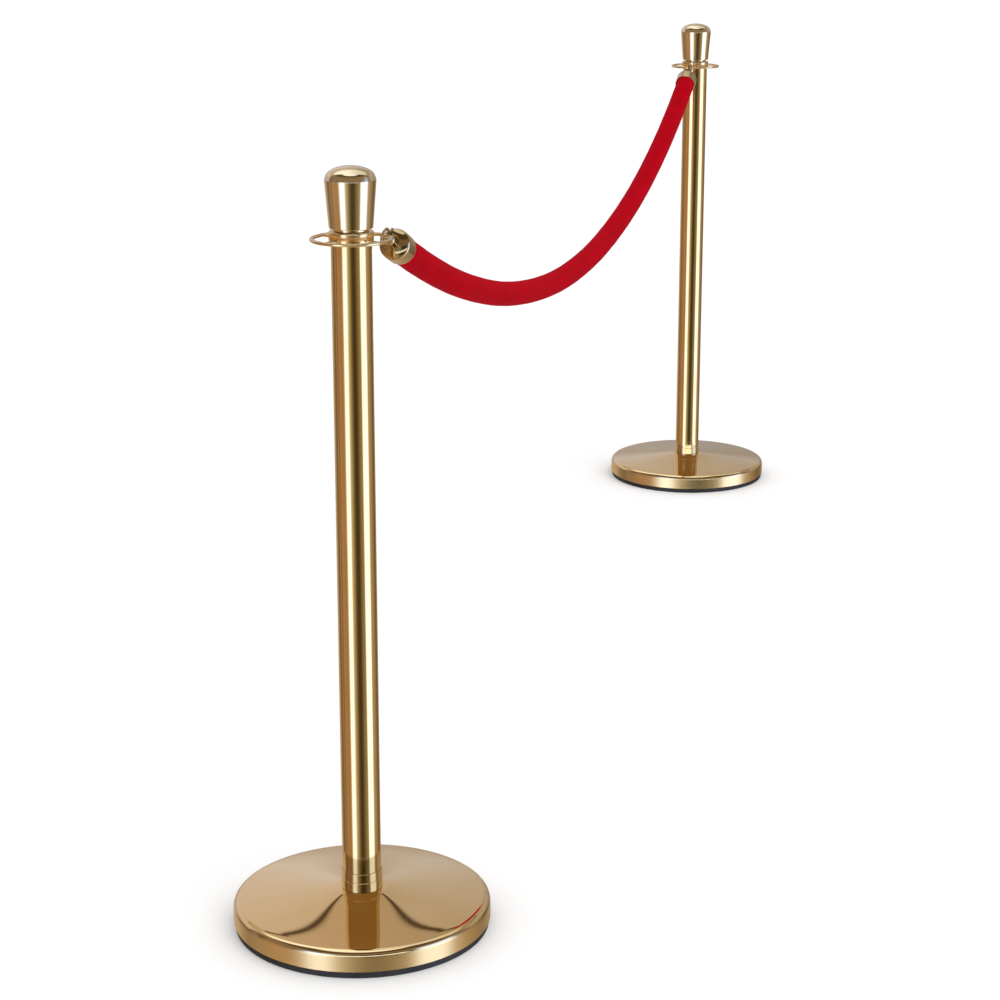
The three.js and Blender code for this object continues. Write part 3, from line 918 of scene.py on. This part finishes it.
def add_plate(builder, outline, thickness, shift=0.0):
    """Adds a plate drawn in the XZ plane, centred on Y = shift, to a bmesh."""
    faces = []
    for y in (shift - thickness / 2, shift + thickness / 2):
        faces.append([builder.verts.new(Vector((x, y, z)) * MM) for x, z in outline])
    count = len(outline)
    for i in range(count):
        j = (i + 1) % count
        builder.faces.new((faces[0][i], faces[0][j], faces[1][j], faces[1][i]))
    builder.faces.new(faces[0])
    builder.faces.new(list(reversed(faces[1])))


def apply_modifier(piece, kind, **settings):
    """Adds a modifier with settings and bakes it into the mesh."""
    modifier = piece.modifiers.new("work", kind)
    for name, value in settings.items():
        setattr(modifier, name, value)
    shown = bpy.context.evaluated_depsgraph_get()
    shown.update()
    mesh = bpy.data.meshes.new_from_object(piece.evaluated_get(shown))
    piece.modifiers.clear()
    piece.data = mesh


def cut_away(piece, builder):
    """Subtracts the solids in a bmesh from a piece."""
    tool = finished("cutter", mesh_of("cutter", builder))
    apply_modifier(piece, "BOOLEAN", operation="DIFFERENCE", solver="EXACT", object=tool)
    bpy.data.objects.remove(tool)


def bore_outline(radius, start, end):
    """A plain cylinder to cut a hole with."""
    return [(0, start), (radius, start), (radius, end), (0, end)]


def snap_hook(name):
    """Cast hook: wire loop, fork for the gate and barrel for the swivel, blended into one body."""
    loop = arc_points(0, 0, LOOP_RADIUS, -42, -298, 12)
    route = [(21, 0), (16.5, -0.4), (12, -2), *loop]
    centres = spline_points([Vector((x, 0, z)) * MM for x, z in route], 6)
    radii = [WIRE_RADIUS * MM] * len(centres)
    builder = bmesh.new()
    add_sweep(builder, centres, radii, 32)
    fork = [(11.5, -3), (21, -4.5), (21, 4.5), *arc_points(PIVOT_ALONG, PIVOT_UP, 3.2, 60, 160, 12)]
    add_plate(builder, fork, FORK_WIDTH)
    barrel = rounded([
        (0, BOSS_START),
        (4.8, BOSS_START),
        (BOSS_RADIUS, BOSS_START + 2, 1.5),
        (BOSS_RADIUS, BOSS_END, 1.5),
        (0, BOSS_END),
    ])
    add_lathe(builder, barrel, 64, ALONG_X)
    body = finished(name, mesh_of(name, builder))
    apply_modifier(body, "REMESH", mode="VOXEL", voxel_size=0.28 * MM)
    apply_modifier(body, "SMOOTH", factor=0.5, iterations=6)

    slot = bmesh.new()
    add_plate(slot, [(8.6, 0.8), (18.6, 0.8), (18.6, 12.8), (8.6, 12.8)], FORK_SLOT)
    pin_hole = bmesh.new()
    pin_place = Matrix.Translation(Vector((PIVOT_ALONG, 0, PIVOT_UP)) * MM) @ ALONG_Y
    add_lathe(pin_hole, bore_outline(PIN_RADIUS + PIN_CLEARANCE, -8, 8), 32, pin_place)
    stud_hole = bmesh.new()
    bore_start = SWIVEL_START - 1
    add_lathe(stud_hole, bore_outline(SWIVEL_RADIUS + GAP, bore_start, BOSS_END + 2), 32, ALONG_X)
    for cutter in (slot, pin_hole, stud_hole):  # one by one: the slot and the pin's hole cross
        cut_away(body, cutter)
    body.data.shade_smooth()
    body.data.set_sharp_from_angle(angle=math.radians(40))
    return body


def gate_lever(name):
    """Gate lever drawn from its pivot, X towards its tip and the thumb tab on the -Z side."""
    tip = 1.5
    heel = 2.6
    outline = [
        (0, -heel),
        (2.6, -2.3),
        (2.4, -6.6),
        *arc_points(3.9, -6.8, 1.5, 180, 360, 10),
        (6.4, -1.9),
        *arc_points(GATE_LENGTH, 0, tip, -90, 90, 10),
        *arc_points(0, 0, heel, 90, 268, 16),
    ]
    builder = bmesh.new()
    add_plate(builder, outline, GATE_THICKNESS)
    lever = finished(name, mesh_of(name, builder))
    hole = bmesh.new()
    add_lathe(hole, bore_outline(PIN_RADIUS + PIN_CLEARANCE, -4, 4), 32, ALONG_Y)
    cut_away(lever, hole)
    apply_modifier(lever, "BEVEL", width=0.3 * MM, segments=3, limit_method="ANGLE")
    lever.data.shade_smooth()
    lever.data.set_sharp_from_angle(angle=math.radians(35))
    return lever


def gate_spring(name):
    """Torsion spring wound round the gate's pin."""
    turns = 1.75
    steps = 90
    coil_radius = PIN_RADIUS + 0.8
    pitch = 0.65
    wire = 0.3
    centres = []
    for i in range(steps + 1):
        angle = turns * 2 * math.pi * i / steps
        side = pitch * turns * i / steps
        centres.append(Vector((coil_radius * math.cos(angle), side, coil_radius * math.sin(angle))) * MM)
    builder = bmesh.new()
    add_sweep(builder, centres, [wire * MM] * len(centres), 16)
    return finished(name, mesh_of(name, builder))


def ferrule_outline():
    """Domed end cap, open towards the rope, its mouth rolled."""
    bore = 2.9
    start = BOSS_END + 0.5
    depth = FERRULE_SHOULDER - start
    steps = 20
    dome = []
    for i in range(steps):
        share = 0.15 + (0.995 - 0.15) * math.sin(math.pi / 2 * i / (steps - 1))
        dome.append((FERRULE_RADIUS * share, start + depth * (1 - math.sqrt(1 - share ** 2.4))))
    return [
        *dome,
        (FERRULE_RADIUS, FERRULE_SHOULDER + 1),
        (FERRULE_RADIUS, FERRULE_SHOULDER + 2),
        (FERRULE_RADIUS, FERRULE_MOUTH - 1),
        (FERRULE_RADIUS, FERRULE_MOUTH - 0.4),
        (FERRULE_RADIUS - 0.2, FERRULE_MOUTH),
        (FERRULE_BORE + 0.2, FERRULE_MOUTH),
        (FERRULE_BORE, FERRULE_MOUTH - 0.4),
        (FERRULE_BORE, 48.8),
        (12, FERRULE_SEAT),
        (bore, FERRULE_SEAT),
    ]


def stud_outline():
    """Swivel stud with its head inside the ferrule."""
    head_bottom = FERRULE_SEAT + GAP
    head_top = head_bottom + SWIVEL_HEAD_HEIGHT
    return [
        (0, SWIVEL_START),
        (SWIVEL_RADIUS, SWIVEL_START),
        (SWIVEL_RADIUS, head_bottom),
        (SWIVEL_HEAD_RADIUS, head_bottom),
        (SWIVEL_HEAD_RADIUS, head_top - 0.4),
        (SWIVEL_HEAD_RADIUS - 0.4, head_top),
        (0, head_top),
    ]


def turned_along_x(name, outline, facets):
    """A turned piece whose axis lies along X."""
    builder = bmesh.new()
    add_lathe(builder, outline, facets, ALONG_X)
    return finished(name, mesh_of(name, builder))


def make_rope_end(prefix):
    """Hook, gate, pin, spring, stud and ferrule, put where the frame's joints say."""
    base = hook_frame(prefix)
    pivot = Vector((PIVOT_ALONG, 0, PIVOT_UP)) * MM
    shifted = Matrix.Translation(pivot - Vector((0, GATE_SHIFT * MM, 0)))
    spring_side = (GATE_THICKNESS / 2 - GATE_SHIFT + 0.45) * MM
    pin_outline = rod_outline(PIN_RADIUS, -PIN_REACH, PIN_REACH)
    pin_piece = lathe(f"{prefix}_gate_pin_fine", pin_outline, SMALL_ROUND)
    here = Matrix.Identity(4)
    parts = [
        # The hook and the ferrule take the darker gold, a painted shade.
        ("snap_hook", snap_hook(f"{prefix}_snap_hook_fine"),
         here, "hook", "polished_gold", "painted_shade_gold"),
        ("swivel_stud", turned_along_x(f"{prefix}_swivel_stud_fine", stud_outline(), SMALL_ROUND),
         here, "rope", "zinc_steel", "zinc_steel"),
        ("ferrule", turned_along_x(f"{prefix}_ferrule_fine", ferrule_outline(), ROUND),
         here, "rope", "polished_gold", "painted_shade_gold"),
        ("hook_gate", gate_lever(f"{prefix}_hook_gate_fine"),
         shifted @ Matrix.Rotation(-GATE_ANGLE, 4, "Y"), "gate", "dark_brass", "dark_brass"),
        ("gate_pin", pin_piece,
         Matrix.Translation(pivot) @ ALONG_Y, "hook", "zinc_steel", "zinc_steel"),
        ("gate_spring", gate_spring(f"{prefix}_gate_spring_fine"),
         Matrix.Translation(pivot + Vector((0, spring_side, 0))), "hook", "zinc_steel", "zinc_steel"),
    ]
    pieces = []
    for node, piece, place, part_of, slot, finish in parts:
        piece.matrix_world = base @ place
        body = part_of if part_of == "rope" else f"{prefix}_{part_of}"
        pieces.append(install(piece, body, slot, finish, f"{prefix}_{node}"))
    return pieces


end_pieces = [piece for prefix in POSTS for piece in make_rope_end(prefix)]

# ---------------------------------------------------------------- studio

FLOOR_SIZE = 160
SUN_WIDTH = math.radians(50)

# What the polished metal sees on the camera's side of the object, by compass angle from that side,
# positive to its right: (degrees, red, green, blue). Bright stretches are tall softboxes.
STRIPS = [
    (-180, 0.55, 0.45, 0.34),
    (-140, 0.55, 0.45, 0.34),
    (-125, 0.22, 0.17, 0.12),
    (-108, 0.20, 0.14, 0.09),
    (-102, 0.40, 0.31, 0.24),
    (-94, 0.20, 0.12, 0.07),
    (-86, 0.42, 0.27, 0.17),
    (-58, 0.38, 0.23, 0.13),
    (-51, 0.55, 0.48, 0.42),
    (-44, 1.50, 1.75, 2.45),
    (-28, 1.45, 1.70, 2.40),
    (-20, 0.60, 0.55, 0.45),
    (-4, 0.20, 0.17, 0.08),
    (6, 0.07, 0.05, 0.03),
    (20, 0.07, 0.05, 0.03),
    (34, 0.23, 0.20, 0.11),
    (47, 0.32, 0.28, 0.19),
    (55, 1.45, 1.70, 2.40),
    (82, 1.50, 1.75, 2.45),
    (92, 0.44, 0.38, 0.33),
    (112, 0.34, 0.26, 0.17),
    (136, 0.13, 0.09, 0.06),
    (150, 0.30, 0.24, 0.18),
    (180, 0.55, 0.45, 0.34),
]
STRIP_TOP = math.radians(24)  # where the tall softboxes end
HIGH_TINT = (0.62, 0.75, 1.10, 1)  # their upper ends, above the horizon, are weaker and cooler

# What it sees of the wall behind the object, by elevation: (degrees, red, green, blue).
WALL = [
    (0, 0.50, 0.49, 0.55),
    (12, 0.52, 0.50, 0.56),
    (16, 0.68, 0.68, 0.86),
    (22, 0.66, 0.62, 0.70),
    (33.7, 0.62, 0.56, 0.56),
    (34.0, 0.10, 0.07, 0.05),
    (34.5, 0.10, 0.07, 0.05),
    (34.9, 0.54, 0.45, 0.40),
    (42, 0.56, 0.46, 0.42),
    (46, 1.00, 1.02, 1.15),
    (60, 1.20, 1.28, 1.50),
]
WALL_EDGES = (0.25, 0.40)  # where it starts, as a cosine of the compass angle from straight behind
WALL_SHADE = (0.68, 0.68, 0.62, 1)  # the wall dims towards the right
WALL_SHADE_EDGES = (-0.20, 0.25)

# The ceiling on the camera's side and overhead, by elevation: (degrees, red, green, blue).
CEILING = [
    (24, 0.24, 0.18, 0.12),
    (36, 0.24, 0.18, 0.12),
    (41, 0.26, 0.20, 0.15),
    (48, 0.10, 0.07, 0.04),
    (68, 0.10, 0.07, 0.04),
    (74, 1.20, 1.28, 1.50),
]
FRONT_BAND = (1.5, 1.75, 2.4, 1)  # wide low softbox at the level of the camera's horizon
FRONT_BAND_EDGES = [math.radians(-1), math.radians(8)]
FRONT_BAND_WIDTH = math.radians(41)  # to each side
FRONT_BAND_SOFTNESS = 0.012
GLOW = (0.62, 0.50, 0.36, 1)  # warm light off the floor that fills the dark strips from below
GLOW_TOP = math.radians(-25.6)
GLOW_SOFTNESS = 0.012
GLOW_SHARE = 0.5
SOFT_LIGHT = (1.0, 1.0, 1.0, 1)  # what everything that isn't a mirror sees, and the camera too


class Studio(Tree):
    """The world's node tree, which gives a colour to each direction a ray leaves in."""

    def __init__(self):
        self.world = bpy.data.worlds.new("studio")
        self.world.use_nodes = True
        super().__init__(self.world.node_tree)
        self.look = self.add("ShaderNodeTexCoord").outputs["Generated"]
        self.height = self.share_along((0, 0, 1))
        self.elevation = self.math("DIVIDE", self.math("ARCSINE", self.height), math.pi / 2)
        self.above = self.rise_between(self.height, -0.03, 0.03)

    def share_along(self, direction):
        """Cosine of the angle between the ray and a direction."""
        node = self.add("ShaderNodeVectorMath")
        node.operation = "DOT_PRODUCT"
        self.link(self.look, node.inputs[0])
        node.inputs[1].default_value = direction
        return node.outputs["Value"]

    def mixed(self, share, low, high, blend="MIX"):
        """Two colours mixed by a share. A mix node has sockets A and B for each kind of value."""
        node = self.add("ShaderNodeMix")
        node.data_type = "RGBA"
        node.blend_type = blend
        self.link(share, node.inputs["Factor"])
        colours = [socket for socket in node.inputs if socket.type == "RGBA"]
        for socket, value in zip(colours, (low, high)):
            self.feed(socket, value)
        return [socket for socket in node.outputs if socket.type == "RGBA"][0]

    def rise_between(self, value, start, end):
        """Rises smoothly from 0 to 1 between two values."""
        node = self.add("ShaderNodeMapRange")
        node.interpolation_type = "SMOOTHSTEP"
        self.link(value, node.inputs["Value"])
        node.inputs["From Min"].default_value = start
        node.inputs["From Max"].default_value = end
        return node.outputs["Result"]

    def fall_between(self, value, start, end):
        """Falls smoothly from 1 to 0 between two values."""
        return self.math("SUBTRACT", 1.0, self.rise_between(value, start, end))

    def ramp(self, value, bands, low, high):
        """A colour ramp whose stops are given in degrees between low and high."""
        node = self.add("ShaderNodeValToRGB")
        elements = node.color_ramp.elements
        while len(elements) > 1:
            elements.remove(elements[-1])
        for i, (degrees, *colour) in enumerate(bands):
            position = (degrees - low) / (high - low)
            element = elements[0] if i == 0 else elements.new(position)
            element.position = position
            element.color = (*colour, 1)
        self.link(value, node.inputs["Fac"])
        return node.outputs["Color"]


def softbox_strips(studio):
    """Tall softboxes by compass angle, their upper ends dimmed and the floor's glow over their feet."""
    compass = studio.math("ARCTAN2", studio.share_along(view_right), studio.share_along(-view_forward))
    turn = studio.math("ADD", studio.math("DIVIDE", compass, 2 * math.pi), 0.5)
    strips = studio.ramp(turn, STRIPS, -180, 180)
    strips = studio.mixed(studio.above, strips, HIGH_TINT, blend="MULTIPLY")
    glow_edges = [math.sin(GLOW_TOP + soft) for soft in (-GLOW_SOFTNESS, GLOW_SOFTNESS)]
    glow = studio.fall_between(studio.height, *glow_edges)
    return studio.mixed(studio.math("MULTIPLY", glow, GLOW_SHARE), strips, GLOW)


def with_front_band(studio, strips):
    """The strips with the low softbox ahead of them."""
    sides = [math.cos(FRONT_BAND_WIDTH + soft) for soft in (0.06, -0.06)]
    ahead = studio.rise_between(studio.share_along(-view_forward), *sides)
    bottom, top = [math.sin(edge) for edge in FRONT_BAND_EDGES]
    soft = FRONT_BAND_SOFTNESS
    rise = studio.rise_between(studio.height, bottom - soft, bottom + soft)
    fall = studio.fall_between(studio.height, top - soft, top + soft)
    level = studio.math("MULTIPLY", rise, fall)
    return studio.mixed(studio.math("MULTIPLY", ahead, level), strips, FRONT_BAND)


def back_wall(studio):
    """The wall by elevation, dimmed towards the right, and the share of it in each direction."""
    rightwards = studio.rise_between(studio.share_along(view_right), *WALL_SHADE_EDGES)
    wall = studio.ramp(studio.elevation, WALL, 0, 90)
    wall = studio.mixed(rightwards, wall, WALL_SHADE, blend="MULTIPLY")
    squared = studio.math("MULTIPLY", studio.height, studio.height)
    level_share = studio.math("SQRT", studio.math("SUBTRACT", 1.0, squared))
    facing = studio.math("DIVIDE", studio.share_along(view_forward), level_share)
    behind = studio.rise_between(facing, *WALL_EDGES)
    return wall, studio.math("MULTIPLY", studio.above, behind)


def make_world():
    """Plain soft white to the camera and to matt surfaces; softboxes, wall and ceiling to the metal."""
    studio = Studio()
    strips = with_front_band(studio, softbox_strips(studio))
    strip_ends = [math.sin(STRIP_TOP + soft) for soft in (-0.03, 0.03)]
    over_strips = studio.rise_between(studio.height, *strip_ends)
    camera_side = studio.mixed(over_strips, strips, studio.ramp(studio.elevation, CEILING, 0, 90))
    wall, wall_share = back_wall(studio)
    mirrored = studio.mixed(wall_share, camera_side, wall)
    is_glossy = studio.add("ShaderNodeLightPath").outputs["Is Glossy Ray"]
    background = studio.tree.nodes["Background"]
    studio.link(studio.mixed(is_glossy, SOFT_LIGHT, mirrored), background.inputs["Color"])
    bpy.context.scene.world = studio.world


def make_floor():
    """Plain pale floor. The metal reflects the studio's bands instead of it."""
    builder = bmesh.new()
    bmesh.ops.create_grid(builder, x_segments=1, y_segments=1, size=FLOOR_SIZE / 2)
    floor = finished("floor", mesh_of("floor", builder))
    nodes = Finish("floor")
    nodes.set(Base_Color=(0.93, 0.93, 0.93, 1), Roughness=0.9, Specular_IOR_Level=0.1)
    floor.data.materials.append(nodes.material)
    floor.visible_glossy = False


def soft_sun(name, azimuth, elevation, strength):
    """A very wide, soft sun that lights floor and velvet evenly and isn't mirrored in the metal."""
    data = bpy.data.lights.new(name, "SUN")
    data.energy = strength
    data.angle = SUN_WIDTH
    light = bpy.data.objects.new(name, data)
    a, e = math.radians(azimuth), math.radians(elevation)
    towards = Vector((math.cos(a) * math.cos(e), math.sin(a) * math.cos(e), math.sin(e)))
    light.rotation_euler = towards.to_track_quat("Z", "Y").to_euler()
    light.visible_glossy = False
    bpy.context.scene.collection.objects.link(light)


make_world()
make_floor()
soft_sun("key", azimuth=-120, elevation=50, strength=0.6)
bpy.context.scene.view_settings.view_transform = "Standard"
